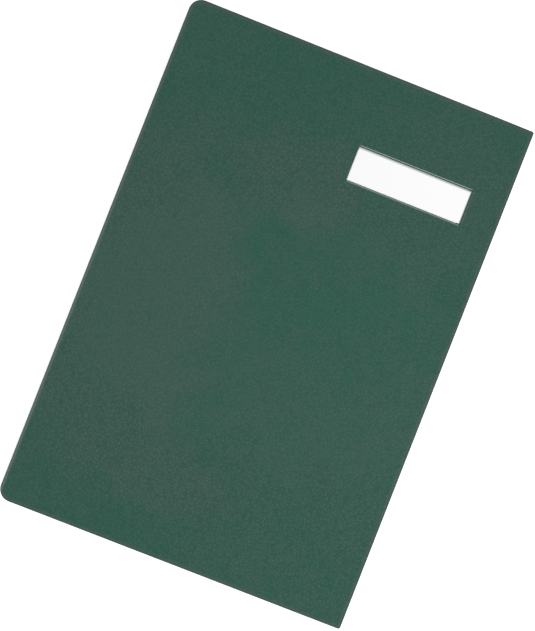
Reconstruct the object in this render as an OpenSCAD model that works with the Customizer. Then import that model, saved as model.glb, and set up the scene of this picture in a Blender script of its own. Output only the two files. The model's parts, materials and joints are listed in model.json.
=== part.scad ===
// Stamp album with guarded, linen-hinged pocket leaves.
// X runs from the spine (-) to the fore-edge (+), Y from the tail (-) to the head (+).
// The back cover lies on Z = 0, and the origin is the centre of its outer face.

/* [Album] */
// Width of the closed album, spine to fore-edge
album_width = 240; // [200:1:280]
// Height of the closed album, tail to head
album_height = 350; // [300:1:400]
// Radius of the covers' corners at the spine
spine_corner_radius = 8.5; // [4:0.5:16]
// Radius of the covers' corners at the fore-edge
fore_corner_radius = 1.5; // [1:0.1:4]

/* [Covers] */
// Thickness of the grey board in each cover
board_thickness = 2.2; // [1.8:0.1:3]
// Thickness of the leatherette
leatherette_thickness = 0.4; // [0.3:0.05:0.6]
// Rounding of a cover's outer edge
outer_edge_radius = 1.2; // [0.8:0.1:1.6]
// Rounding of a cover's inner edge
inner_edge_radius = 0.6; // [0.2:0.1:0.8]
// Width of the leatherette turned in over the board
turn_in_width = 16; // [10:1:24]
// Thickness of the pastedown and of the cloth joint beside it
endpaper_thickness = 0.3; // [0.15:0.05:0.5]
// Leatherette left bare round the pastedown
pastedown_border = 4; // [2:0.5:8]
// Width of the cloth joint on the inside of a cover
cloth_joint_width = 15; // [10:1:25]

/* [Title label] */
// Width of the label
label_width = 79; // [60:1:100]
// Height of the label
label_height = 22.6; // [15:0.2:35]
// Thickness of the label
label_thickness = 0.5; // [0.3:0.1:0.6]
// From the fore-edge to the middle of the label
label_from_fore_edge = 63.7; // [55:0.1:80]
// From the head to the middle of the label
label_from_head = 62.9; // [30:0.1:100]
// Depth of the recess that holds the label
label_recess_depth = 0.9; // [0.7:0.1:1.2]
// Play between the label and the ends and the lower side of its recess
label_play = 0.3; // [0.1:0.1:0.8]
// Gap over the label, where a thumb lifts it out
label_lift_gap = 0.8; // [0.4:0.1:2]
// Bevel round the mouth of the recess
label_bevel = 0.5; // [0.2:0.1:0.8]

/* [Spine] */
// Thickness of the card that stiffens the spine
spine_card_thickness = 0.8; // [0.5:0.1:1.5]
// Gap between the spine and each cover
spine_clearance = 0.2; // [0.1:0.05:0.5]
// Leatherette turned in at the head and the tail of the spine
spine_turn_in = 14; // [8:1:25]
// From the corner arcs of the covers to the ends of the spine
spine_end_inset = 1; // [0:0.5:5]

/* [Sheets] */
// Thickness of a leaf's card
card_thickness = 0.5; // [0.3:0.05:0.8]
// Thickness of a glassine interleaf
interleaf_thickness = 0.15; // [0.1:0.05:0.2]
// Thickness of a flyleaf
flyleaf_thickness = 0.2; // [0.1:0.05:0.3]
// Air between a leaf and the sheet beside it in the closed album
sheet_gap = 0.375; // [0.3:0.025:0.6]
// Cover left bare over the head and the tail of the leaves
leaf_square = 5; // [3:0.5:10]
// Cover left bare beyond the fore-edge of the leaves
leaf_fore_square = 3; // [2:0.5:8]
// Radius of the leaves' outer corners
leaf_corner_radius = 3; // [1:0.5:8]

/* [Leaf hinges] */
// Thickness of one ply of the linen
linen_thickness = 0.15; // [0.1:0.05:0.2]
// From the spine's outer face to the hinge line of the middle sheet
hinge_depth = 11.5; // [9:0.5:16]
// Distance by which each hinge line lies behind the one nearer the middle
hinge_step = 0.35; // [0.3:0.05:0.45]
// From the guards' front edge to the hinge line
hinge_clearance = 0.25; // [0.2:0.05:0.4]
// From the hinge line to the start of the sheet that swings on it
sheet_start = 0.05; // [0.05:0.05:0.1]
// From the spine's outer face to the inner edge of the leaves' card
card_inset = 22; // [20:0.5:30]
// Width of the linen glued on each face of a card
linen_lap = 8; // [5:0.5:12]
// Cover left bare over the ends of the guards and the linen
guard_square = 9; // [7:0.5:15]

/* [Pocket strips] */
// Thickness of a strip's film
film_thickness = 0.12; // [0.08:0.02:0.16]
// Gap behind the film, where the stamps stand
pocket_gap = 0.08; // [0.04:0.02:0.1]
// Height of one strip
strip_height = 26; // [18:1:40]
// Card left bare between two strips
strip_spacing = 7; // [4:0.5:12]
// Width of the seam that holds the foot and the ends of a strip
strip_seam = 1.5; // [1:0.25:3]
// From the linen to the strips
strip_inset = 4; // [2:0.5:10]
// From the strips to the fore-edge of the card
strip_fore_margin = 4; // [2:0.5:10]
// Least card left bare over and under the rows of strips
strip_end_margin = 6; // [3:0.5:15]

/* [Hidden] */
leaf_count = 8;
leaf_pieces = ["card", "linen", "front_strips", "back_strips"];

$fn = 48;
corner_facets = 16;
arc_steps = 4;
slice = 0.01;
cut = 1;
infill_play = 0.1;

leatherette_green = [0.23, 0.35, 0.31];
board_grey = [0.62, 0.60, 0.56];
card_white = [0.95, 0.94, 0.90];
paper_white = [0.93, 0.92, 0.88];
linen_white = [0.88, 0.87, 0.82];
film_clear = [0.85, 0.90, 0.93, 0.45];
glassine_white = [0.90, 0.92, 0.90, 0.6];

// Half sizes and the covers' layers, counted from a cover's outer face
half_width = album_width / 2;
half_height = album_height / 2;
board_bottom = leatherette_thickness;
board_top = board_bottom + board_thickness;
skin_top = board_top + leatherette_thickness;
cover_thickness = skin_top + endpaper_thickness;

// Sheets, counted from 0 at the back flyleaf to sheet_last at the front flyleaf
sheet_last = 2 * leaf_count;
strip_build_up = pocket_gap + film_thickness;
leaf_thickness = card_thickness + 2 * max(strip_build_up, linen_thickness);
thickest_thin_sheet = max(interleaf_thickness, flyleaf_thickness);
sheet_pitch = (leaf_thickness + thickest_thin_sheet) / 2 + sheet_gap;
first_sheet_z = cover_thickness + sheet_gap + flyleaf_thickness / 2;
album_thickness = 2 * first_sheet_z + sheet_last * sheet_pitch;

function sheet_z(n) = first_sheet_z + n * sheet_pitch;
function hinge_x(n) = -half_width + hinge_depth - hinge_step * abs(n - leaf_count);
function leaf_sheet(i) = 2 * (leaf_count - i) + 1;
function interleaf_sheet(i) = 2 * (leaf_count - i);
function is_leaf(n) = n % 2 == 1;
function is_flyleaf(n) = n == 0 || n == sheet_last;
function tab_thickness(n) =
    is_leaf(n) ? 2 * linen_thickness : is_flyleaf(n) ? flyleaf_thickness : interleaf_thickness;

// Edges that several pieces share
leaf_half_height = half_height - leaf_square;
leaf_fore_edge = half_width - leaf_fore_square;
card_edge = -half_width + card_inset;
guard_half_height = half_height - guard_square;
spine_half_height = half_height - spine_corner_radius - spine_end_inset;
spine_bottom = cover_thickness + spine_clearance;
spine_height = album_thickness - 2 * spine_bottom;
spine_card_face = -half_width + leatherette_thickness;
spine_lining_face = spine_card_face + spine_card_thickness;
guard_back = spine_lining_face + leatherette_thickness;
label_x = half_width - label_from_fore_edge;
label_y = half_height - label_from_head;

// Strips: as many rows as fit, centred on the leaf
strip_pitch = strip_height + strip_spacing;
strip_room = 2 * (leaf_half_height - strip_end_margin);
strip_rows = floor((strip_room + strip_spacing) / strip_pitch);
strip_first_y = -(strip_rows * strip_pitch - strip_spacing) / 2;
strip_left = card_edge + linen_lap + strip_inset;
strip_length = leaf_fore_edge - strip_fore_margin - strip_left;

// ---- Shared shapes ----

function arc(centre, r, from, to, steps) =
    [for (k = [0:steps]) let (a = from + (to - from) * k / steps) centre + r * [cos(a), sin(a)]];

// A sheet from x0 to x1 with square corners at the spine side and round ones at the fore-edge
module sheet_outline(x0, x1, half, fore_r) {
    polygon(concat(
        [[x0, -half], [x0, half]],
        arc([x1 - fore_r, half - fore_r], fore_r, 90, 0, arc_steps),
        arc([x1 - fore_r, fore_r - half], fore_r, 0, -90, arc_steps)
    ));
}

// A round corner of a slab from z0 to z1, with its edge rounded by r0 below and by r1 above
module slab_corner(x, y, r, z0, z1, r0, r1) {
    low = min(r0, r);
    translate([x, y, 0]) rotate_extrude() polygon(concat(
        [[0, z1], [0, z0]],
        arc([r - low, z0 + low], low, -90, 0, arc_steps),
        r1 > 0 ? arc([r - r1, z1 - r1], r1, 0, 90, arc_steps) : [[r, z1]]
    ));
}

// A slab of the cover's outline, moved in by inset, between its four corners
module rounded_slab(inset, z0, z1, r0, r1) {
    spine_r = spine_corner_radius - inset;
    fore_r = fore_corner_radius - inset;
    hull() {
        for (side = [-1, 1]) {
            slab_corner(
                spine_corner_radius - half_width, side * (half_height - spine_corner_radius),
                spine_r, z0, z1, r0, r1
            );
            slab_corner(
                half_width - fore_corner_radius, side * (half_height - fore_corner_radius),
                fore_r, z0, z1, r0, r1, $fn = corner_facets
            );
        }
    }
}

// Turns what is drawn as a back cover into the front cover
module as_front_cover() {
    translate([0, 0, album_thickness]) mirror([0, 0, 1]) children();
}

// Extrudes a profile drawn in X and Z along Y, centred
module along_y(length) {
    rotate([90, 0, 0]) linear_extrude(length, center = true) children();
}

// A box from two corners
module box(low, high) {
    translate(low) cube(high - low);
}

// ---- Covers, drawn as the back cover ----

module board() {
    rounded_slab(
        leatherette_thickness, board_bottom, board_top,
        outer_edge_radius - leatherette_thickness, 0
    );
}

module turn_in_window(play) {
    x = half_width - turn_in_width - play;
    y = half_height - turn_in_width - play;
    box([-x, -y, board_top], [x, y, skin_top + (play > 0 ? 0 : cut)]);
}

// The leatherette wraps the board, and its turned-in margin leaves a window inside
module leatherette() {
    difference() {
        rounded_slab(0, 0, skin_top, outer_edge_radius, inner_edge_radius);
        board();
        turn_in_window(0);
    }
}

module cloth_joint() {
    x = -half_width + inner_edge_radius;
    y = half_height - spine_corner_radius;
    box([x, -y, skin_top], [-half_width + cloth_joint_width, y, cover_thickness]);
}

module pastedown() {
    y = half_height - pastedown_border;
    box(
        [-half_width + cloth_joint_width, -y, skin_top],
        [half_width - pastedown_border, y, cover_thickness]
    );
}

// ---- Title label ----

// Half the recess's width, and its lower and upper sides
recess_half = label_width / 2 + label_play;
recess_low = label_y - label_height / 2 - label_play;
recess_high = label_y + label_height / 2 + label_lift_gap;

module recess_slice(z, grow) {
    box(
        [label_x - recess_half - grow, recess_low - grow, z],
        [label_x + recess_half + grow, recess_high + grow, z + slice]
    );
}

module label_recess() {
    box(
        [label_x - recess_half, recess_low, -cut],
        [label_x + recess_half, recess_high, label_recess_depth]
    );
    hull() {
        recess_slice(-slice, label_bevel);
        recess_slice(label_bevel, 0);
    }
}

module title_label() {
    color(card_white) as_front_cover() {
        translate([label_x, label_y, label_recess_depth - label_thickness / 2])
            cube([label_width, label_height, label_thickness], center = true);
    }
}

// ---- Front cover ----

module front_board() {
    color(board_grey) as_front_cover() difference() {
        board();
        label_recess();
    }
}

module front_leatherette() {
    color(leatherette_green) as_front_cover() difference() {
        leatherette();
        label_recess();
    }
}

module front_infill() { color(card_white) as_front_cover() turn_in_window(infill_play); }
module front_pastedown() { color(paper_white) as_front_cover() pastedown(); }
module front_cloth_joint() { color(leatherette_green) as_front_cover() cloth_joint(); }

// ---- Back cover ----

module back_board() { color(board_grey) board(); }
module back_leatherette() { color(leatherette_green) leatherette(); }
module back_infill() { color(card_white) turn_in_window(infill_play); }
module back_pastedown() { color(paper_white) pastedown(); }
module back_cloth_joint() { color(leatherette_green) cloth_joint(); }

// ---- Spine ----

// Leatherette round the outside and both ends of the spine card, turned in over its inside
module spine_leatherette() {
    card_half = spine_half_height - leatherette_thickness;
    lining_half = spine_half_height - spine_turn_in;
    color(leatherette_green) difference() {
        box(
            [-half_width, -spine_half_height, spine_bottom],
            [guard_back, spine_half_height, spine_bottom + spine_height]
        );
        box(
            [spine_card_face, -card_half, spine_bottom - cut],
            [spine_lining_face, card_half, spine_bottom + spine_height + cut]
        );
        box(
            [spine_card_face, -lining_half, spine_bottom - cut],
            [guard_back + cut, lining_half, spine_bottom + spine_height + cut]
        );
    }
}

module spine_card() {
    card_half = spine_half_height - leatherette_thickness;
    color(board_grey) box(
        [spine_card_face, -card_half, spine_bottom],
        [spine_lining_face, card_half, spine_bottom + spine_height]
    );
}

module spine_lining() {
    lining_half = spine_half_height - spine_turn_in;
    color(linen_white) box(
        [spine_lining_face, -lining_half, spine_bottom],
        [guard_back, lining_half, spine_bottom + spine_height]
    );
}

// ---- Guards and the tabs held between them ----

// Card strips that fill the space between the tabs, so that the spine is as thick as the leaves
module guards() {
    color(card_white) for (n = [0:sheet_last - 1]) {
        front = min(hinge_x(n), hinge_x(n + 1)) - hinge_clearance;
        box(
            [guard_back, -guard_half_height, sheet_z(n) + tab_thickness(n) / 2],
            [front, guard_half_height, sheet_z(n + 1) - tab_thickness(n + 1) / 2]
        );
    }
}

module tab(n) {
    box(
        [guard_back, -guard_half_height, sheet_z(n) - tab_thickness(n) / 2],
        [hinge_x(n) - hinge_clearance, guard_half_height, sheet_z(n) + tab_thickness(n) / 2]
    );
}

module linen_tabs() {
    color(linen_white) for (i = [1:leaf_count]) tab(leaf_sheet(i));
}

module sheet_tabs() {
    color(glassine_white) for (n = [0:2:sheet_last]) tab(n);
}

// ---- Sheets ----

// Everything from the hinge line of sheet n to the fore-edge of the leaves
module thin_sheet(n, thickness) {
    translate([0, 0, sheet_z(n) - thickness / 2]) linear_extrude(thickness)
        sheet_outline(hinge_x(n) + sheet_start, leaf_fore_edge, leaf_half_height, leaf_corner_radius);
}

module front_flyleaf() { color(paper_white) thin_sheet(sheet_last, flyleaf_thickness); }
module back_flyleaf() { color(paper_white) thin_sheet(0, flyleaf_thickness); }
module interleaf(i) { color(glassine_white) thin_sheet(interleaf_sheet(i), interleaf_thickness); }

module leaf_card(i) {
    color(card_white) translate([0, 0, sheet_z(leaf_sheet(i)) - card_thickness / 2])
        linear_extrude(card_thickness)
            sheet_outline(card_edge, leaf_fore_edge, leaf_half_height, leaf_corner_radius);
}

// Two plies of linen, together from the hinge line to the card, then apart over its two faces
module leaf_linen(i) {
    n = leaf_sheet(i);
    start = hinge_x(n) + sheet_start;
    ply = linen_thickness;
    face = card_thickness / 2;
    edge = card_edge - ply;
    lap = card_edge + linen_lap;
    color(linen_white) translate([0, 0, sheet_z(n)]) along_y(2 * guard_half_height) polygon([
        [start, -ply], [edge, -ply], [edge, -face - ply], [lap, -face - ply], [lap, -face],
        [card_edge, -face], [card_edge, face],
        [lap, face], [lap, face + ply], [edge, face + ply], [edge, ply], [start, ply]
    ]);
}

// One row of strips on a face at height 0: each is bonded along its foot and both ends,
// and open towards the head
module strips() {
    for (row = [0:strip_rows - 1]) {
        y = strip_first_y + row * strip_pitch;
        difference() {
            box([strip_left, y, 0], [strip_left + strip_length, y + strip_height, strip_build_up]);
            box(
                [strip_left + strip_seam, y + strip_seam, -cut],
                [strip_left + strip_length - strip_seam, y + strip_height + cut, pocket_gap]
            );
        }
    }
}

module leaf_front_strips(i) {
    color(film_clear)
        translate([0, 0, sheet_z(leaf_sheet(i)) + card_thickness / 2]) strips();
}

module leaf_back_strips(i) {
    color(film_clear)
        translate([0, 0, sheet_z(leaf_sheet(i)) - card_thickness / 2]) mirror([0, 0, 1]) strips();
}

front_board();
front_leatherette();
front_infill();
front_pastedown();
front_cloth_joint();
title_label();
back_board();
back_leatherette();
back_infill();
back_pastedown();
back_cloth_joint();
spine_leatherette();
spine_card();
spine_lining();
guards();
linen_tabs();
sheet_tabs();
front_flyleaf();
back_flyleaf();
for (i = [1:leaf_count]) {
    leaf_card(i);
    leaf_linen(i);
    leaf_front_strips(i);
    leaf_back_strips(i);
}
for (i = [1:leaf_count - 1]) {
    interleaf(i);
}
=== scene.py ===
# %% [markdown]
# # A stamp album in green leatherette
# This lesson dresses a stamp album: two stiff covers wrapped in leatherette, a spine filled with card
# guards, and eight leaves of white card that hinge on linen and carry rows of clear pockets. The solids
# come from a CAD model, and nothing here moves them. Each step says what the piece or finish is on a
# real album, how it could be made in Blender, and why it is made the way it is.

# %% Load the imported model
import json
import math

import bmesh
import bpy
from mathutils import Euler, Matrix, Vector


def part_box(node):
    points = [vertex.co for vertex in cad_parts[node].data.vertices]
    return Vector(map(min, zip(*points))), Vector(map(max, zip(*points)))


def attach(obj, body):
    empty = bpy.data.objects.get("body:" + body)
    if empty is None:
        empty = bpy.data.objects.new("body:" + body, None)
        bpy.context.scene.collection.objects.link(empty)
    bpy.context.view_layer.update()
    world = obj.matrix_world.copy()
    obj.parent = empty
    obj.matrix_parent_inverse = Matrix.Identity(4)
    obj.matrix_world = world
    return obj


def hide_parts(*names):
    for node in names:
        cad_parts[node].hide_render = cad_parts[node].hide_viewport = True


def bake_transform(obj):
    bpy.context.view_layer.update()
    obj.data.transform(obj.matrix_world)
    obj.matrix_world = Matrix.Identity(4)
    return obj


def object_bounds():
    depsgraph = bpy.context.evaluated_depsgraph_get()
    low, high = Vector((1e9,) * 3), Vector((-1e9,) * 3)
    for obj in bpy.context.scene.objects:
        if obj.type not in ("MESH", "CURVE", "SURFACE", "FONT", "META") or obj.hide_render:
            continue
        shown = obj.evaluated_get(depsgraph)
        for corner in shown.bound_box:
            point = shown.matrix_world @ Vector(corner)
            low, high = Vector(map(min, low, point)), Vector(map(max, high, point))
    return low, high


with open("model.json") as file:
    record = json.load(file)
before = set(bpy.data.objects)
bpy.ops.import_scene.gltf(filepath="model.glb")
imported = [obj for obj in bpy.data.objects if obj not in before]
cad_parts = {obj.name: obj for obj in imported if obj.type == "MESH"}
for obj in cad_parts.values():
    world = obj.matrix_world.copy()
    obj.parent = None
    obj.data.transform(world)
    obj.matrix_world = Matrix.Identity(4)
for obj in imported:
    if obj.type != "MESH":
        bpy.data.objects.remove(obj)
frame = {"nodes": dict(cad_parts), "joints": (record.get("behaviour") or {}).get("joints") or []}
nodes = frame["nodes"]
cad_low, cad_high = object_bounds()
MM = 0.001
print("album:", [round((b - a) / MM, 2) for a, b in zip(cad_low, cad_high)], "mm")

# %% [markdown]
# ## Sizes
# The sizes could be typed in again, but then a change to the solids would leave the dressed album behind.
# So they are read from the solids, and only what those don't hold, such as the depth of a crease, is a
# number here. All lengths are in metres, so a number in millimetres is multiplied by MM.

# %% Read the sizes off the solids
skin_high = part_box("back_leatherette")[1]
board_low, board_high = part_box("back_board")
spine_low, spine_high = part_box("spine_leatherette")

half_width = skin_high.x
half_height = skin_high.y
skin_top = skin_high.z
leatherette = board_low.z
board_top = board_high.z
cover_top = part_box("back_cloth_joint")[1].z
album_top = cad_high.z
turn_in = half_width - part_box("back_infill")[1].x
leaf_count = sum(name.startswith("leaf_") and name.endswith("_card") for name in nodes)
joint_at = {joint["name"]: Vector(joint["pos_m"]) for joint in frame["joints"]}
print("leaves:", leaf_count, "| cover:", round(cover_top / MM, 2), "mm thick")

# %% [markdown]
# No box holds a corner's radius or the place of the label's window, but the points of the solids do.

# %% Measure the corners and the label's window
ON_PLANE = 0.01 * MM


def corner_radius(side):
    """How far a cover's straight end stops short of one side, -1 for the spine and 1 for the fore-edge."""
    points = nodes["back_leatherette"].data.vertices
    return half_width - max(v.co.x * side for v in points if v.co.y > half_height - ON_PLANE)


def find_window(border=20 * MM):
    """The window's mouth: the points of the front face that lie away from the cover's edges."""
    mouth = [v.co for v in nodes["front_leatherette"].data.vertices
             if v.co.z > album_top - ON_PLANE and abs(v.co.x) < half_width - border]
    xs = [point.x for point in mouth]
    ys = [point.y for point in mouth]
    return min(xs), max(xs), min(ys), max(ys)


SPINE_CORNER = corner_radius(-1)
FORE_CORNER = corner_radius(1)
label_window = find_window()
window_left, window_right, window_tail, window_head = label_window
print("corners:", round(SPINE_CORNER / MM, 2), "and", round(FORE_CORNER / MM, 2), "mm")
print("label window:", [round(v / MM, 2) for v in label_window])

# %% [markdown]
# ## Camera
# The album is seen from straight above through a longish lens, a metre away, with the camera rolled by
# about 21 degrees. Its tilt of a degree or two makes the spine side a trace longer than the fore-edge. Such
# a view could be an orthographic one, but then the album would lose that trace.

# %% Set up the camera
CAMERA_PLACE = (-0.0320, -0.0105, 0.9931)
CAMERA_TURN = (-0.194, -2.006, 21.480)
LENS_MM = 85

scene = bpy.context.scene
camera_data = bpy.data.cameras.new("camera")
camera_data.lens = LENS_MM
camera = bpy.data.objects.new("camera", camera_data)
camera.location = CAMERA_PLACE
camera.rotation_euler = Euler([math.radians(a) for a in CAMERA_TURN])
scene.collection.objects.link(camera)
scene.camera = camera
scene.view_settings.view_transform = "Standard"
print("camera at", CAMERA_PLACE, "with a lens of", LENS_MM, "mm")

# %% [markdown]
# ## Short calls for shader nodes
# Each shader node could be made, set and linked in lines of its own, but those hide what a finish is. With
# a few short calls a finish reads like a sum: each call adds one node and hands on its output.

# %% Helper: the nodes of one tree
# A Mix node's sockets for each kind of data: its factor, its two inputs and its output.
MIX_SOCKETS = {"FLOAT": (0, 2, 3, 0), "RGBA": (0, 6, 7, 2)}


class Nodes:
    """Adds and joins the nodes of one tree. A value is a number, a colour or another node's output."""

    def __init__(self, tree):
        self.tree = tree

    def put(self, socket, value):
        if isinstance(value, bpy.types.NodeSocket):
            self.tree.links.new(value, socket)
        else:
            socket.default_value = value

    def set(self, node, **inputs):
        """Gives a node its inputs by name, where an underscore stands for a space."""
        for name, value in inputs.items():
            self.put(node.inputs[name.replace("_", " ")], value)
        return node

    def add(self, kind, **inputs):
        return self.set(self.tree.nodes.new("ShaderNode" + kind), **inputs)

    def fill(self, node, *values):
        """Gives a node its inputs in order, and hands on its first output."""
        for socket, value in zip(node.inputs, values):
            self.put(socket, value)
        return node.outputs[0]

    def math(self, operation, a, b=0.0):
        node = self.add("Math")
        node.operation = operation
        return self.fill(node, a, b)

    def plus(self, a, b):
        return self.math("ADD", a, b)

    def minus(self, a, b):
        return self.math("SUBTRACT", a, b)

    def times(self, a, b):
        return self.math("MULTIPLY", a, b)

    def over(self, a, b):
        return self.math("DIVIDE", a, b)

    def gap(self, a, b):
        return self.math("ABSOLUTE", self.minus(a, b))

    def vector(self, operation, a, b):
        node = self.add("VectorMath")
        node.operation = operation
        return self.fill(node, a, b)

    def scale(self, vector, factor):
        node = self.add("VectorMath")
        node.operation = "SCALE"
        self.set(node, Scale=factor)
        return self.fill(node, vector)

    def ramp(self, value, low, high, to_low=0.0, to_high=1.0):
        """Eases from to_low, where value is low, to to_high, where it is high."""
        node = self.add("MapRange")
        node.interpolation_type = "SMOOTHSTEP"
        return self.fill(node, value, low, high, to_low, to_high)

    def fade(self, value, low, high):
        """Eases from 1, where value is low, to 0, where it is high."""
        return self.ramp(value, low, high, 1.0, 0.0)

    def mix(self, factor, a, b, kind="RGBA"):
        """Hands on a where factor is 0 and b where it is 1: colours or, with kind FLOAT, values."""
        node = self.add("Mix")
        node.data_type = kind
        *numbers, result = MIX_SOCKETS[kind]
        for number, value in zip(numbers, (factor, a, b)):
            self.put(node.inputs[number], value)
        return node.outputs[result]

    def tint(self, colour, mask, share, other):
        """Lays a share of another colour over a colour, where the mask is."""
        return self.mix(self.times(mask, share), colour, other)

    def millimetres(self, metres):
        return self.times(metres, 1 / MM)

    def where(self):
        """The place of a point, in metres in the album's own frame."""
        return self.add("TexCoord").outputs["Object"]

    def where_parts(self):
        """The X, Y and Z of that place, by name."""
        return self.add("SeparateXYZ", Vector=self.where()).outputs

    def noise(self, vector, **inputs):
        return self.add("TexNoise", Vector=vector, **inputs).outputs["Fac"]

    def place(self, group, **inputs):
        """Places a shared effect with its own values, and hands on its outputs."""
        node = self.add("Group")
        node.node_tree = group
        return self.set(node, **inputs).outputs


# %% [markdown]
# ## Light and floor
# Product light is soft and even: a large lamp over the fore-edge, a weaker one over the spine, and a
# white surround. The head at the spine side then gets the least light. Two lamps alone would leave black
# gaps between the leaves, and the surround alone would leave the grain flat.

# %% Hang the lamps
def add_area_lamp(name, place, target, size, power):
    data = bpy.data.lights.new(name, "AREA")
    data.size = size
    data.energy = power
    lamp = bpy.data.objects.new(name, data)
    lamp.location = place
    lamp.rotation_euler = (Vector(target) - Vector(place)).to_track_quat("-Z", "Y").to_euler()
    scene.collection.objects.link(lamp)
    print(name, "of", power, "W at", place)


add_area_lamp("key_lamp", place=(0.55, -0.15, 1.10), target=(0.02, -0.02, 0), size=0.7, power=6.9)
add_area_lamp("fill_lamp", place=(-0.50, -0.50, 1.10), target=(0, 0, 0), size=0.7, power=1.5)

# %% [markdown]
# The surround lights the album weakly, but the camera and reflections see it as plain white. The floor is
# a white sheet. Seen by the camera it glows a little, so that it stays white round the album, but it still
# takes the shadow. Stronger lamps would whiten it too, and bleach the album with it.

# %% Build the surround and the floor
WHITE = (1, 1, 1, 1)
FLOOR_WHITE = (0.86, 0.86, 0.86, 1)
FLOOR_DROP = 0.2 * MM


def add_surround(light=0.65):
    world = bpy.data.worlds.new("surround")
    world.use_nodes = True
    made = Nodes(world.node_tree)
    lighting = made.fill(world.node_tree.nodes["Background"], WHITE, light)
    white = made.add("Background", Color=WHITE, Strength=1.0).outputs[0]
    path = made.add("LightPath").outputs
    direct = made.math("MAXIMUM", path["Is Camera Ray"], path["Is Transmission Ray"])
    seen = made.math("MAXIMUM", direct, path["Is Glossy Ray"])
    chosen = made.fill(made.add("MixShader"), seen, lighting, white)
    made.put(world.node_tree.nodes["World Output"].inputs["Surface"], chosen)
    scene.world = world


def add_floor(size=6.0, glow=0.58):
    half = size / 2
    corners = [(-half, -half, 0), (half, -half, 0), (half, half, 0), (-half, half, 0)]
    mesh = bpy.data.meshes.new("floor")
    mesh.from_pydata(corners, [], [(0, 1, 2, 3)])
    floor = bpy.data.objects.new("floor", mesh)
    floor.location.z = -FLOOR_DROP
    scene.collection.objects.link(floor)
    paper = bpy.data.materials.new("floor_white")
    paper.use_nodes = True
    made = Nodes(paper.node_tree)
    shader = paper.node_tree.nodes["Principled BSDF"]
    made.set(shader, Base_Color=FLOOR_WHITE, Roughness=0.9, Specular_IOR_Level=0.1)
    glowing = made.add("Emission", Strength=glow).outputs[0]
    both = made.fill(made.add("AddShader"), shader.outputs[0], glowing)
    seen = made.add("LightPath").outputs["Is Camera Ray"]
    chosen = made.fill(made.add("MixShader"), seen, shader.outputs[0], both)
    made.put(paper.node_tree.nodes["Material Output"].inputs["Surface"], chosen)
    mesh.materials.append(paper)


add_surround()
add_floor()
print("surround and floor are white")

# %% [markdown]
# ## Shared effects
# Several finishes use the same few effects: the pebbles pressed into leatherette, the cloudy drift of a
# dyed surface, the threads of cloth, the fibres of paper, and the wear of a cover. Each effect is a node
# group with named inputs, built once. All of them read object coordinates, which here are metres in the
# album's own frame, so a size in millimetres is a real size and nothing needs unwrapping.

# %% Helper: start a node group
def start_group(name, inputs, outputs):
    """A new group with the inputs {name: value} and the named outputs, all of them values."""
    tree = bpy.data.node_groups.new(name, "ShaderNodeTree")
    for label, value in inputs.items():
        socket = tree.interface.new_socket(label, in_out="INPUT", socket_type="NodeSocketFloat")
        socket.default_value = value
    for label in outputs:
        tree.interface.new_socket(label, in_out="OUTPUT", socket_type="NodeSocketFloat")
    entry = tree.nodes.new("NodeGroupInput")
    leave = tree.nodes.new("NodeGroupOutput")
    print("group", name, "puts out", *outputs)
    return Nodes(tree), entry.outputs, leave.inputs


# %% [markdown]
# ### Pebble grain
# Leatherette is a film pressed with a steel roller, so its grain is shallow and even: rounded pebbles of
# about two millimetres with narrow valleys between them, and finer pores on top. Sculpting it would take
# millions of points. In a Voronoi pattern the distance to the nearest cell wall is a dome over each cell,
# so it gives pebbles and valleys at once. A little noise keeps the cells from looking like a honeycomb.

# %% Group: pebble grain
def make_pebble_grain():
    made, given, out = start_group(
        "Pebble grain", {"Pebble mm": 2.0, "Wander": 0.35, "Pore share": 0.3}, ["Height", "Valley"])
    cells_at = made.scale(made.where(), made.over(1 / MM, given["Pebble mm"]))
    drift = made.add("TexNoise", Vector=cells_at, Scale=0.8, Detail=2.0).outputs
    push = made.scale(made.vector("SUBTRACT", drift["Color"], (0.5, 0.5, 0.5)), given["Wander"])
    cells = made.add("TexVoronoi", Vector=made.vector("ADD", cells_at, push), Scale=1.0, Randomness=0.9)
    cells.feature = "DISTANCE_TO_EDGE"
    uneven = made.times(made.minus(drift["Fac"], 0.5), 0.3)
    crease = made.plus(cells.outputs["Distance"], uneven)
    pebbles = made.ramp(crease, 0.0, 0.5)
    pores = made.noise(cells_at, Scale=4.5, Detail=3.0, Roughness=0.6)
    made.put(out["Height"], made.plus(pebbles, made.times(pores, given["Pore share"])))
    made.put(out["Valley"], made.fade(crease, 0.0, 0.24))
    return made.tree


pebble_grain = make_pebble_grain()

# %% [markdown]
# ### Cloudy drift
# No dyed or printed surface has one even colour. Two noises, one as wide as a hand and one as wide as a
# finger, give a slow drift and a mottle, where one noise would give only the first. The group puts out one
# value round 0.5 that a material uses as it likes.

# %% Group: cloudy drift
def make_cloudy_drift():
    made, given, out = start_group(
        "Cloudy drift", {"Wide mm": 120.0, "Narrow mm": 9.0, "Narrow share": 0.5}, ["Cloud"])
    where = made.where()
    clouds = []
    for size in ("Wide mm", "Narrow mm"):
        at = made.scale(where, made.over(1 / MM, given[size]))
        clouds.append(made.noise(at, Scale=1.0, Detail=3.0))
    made.put(out["Cloud"], made.mix(given["Narrow share"], *clouds, kind="FLOAT"))
    return made.tree


cloudy_drift = make_cloudy_drift()
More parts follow.
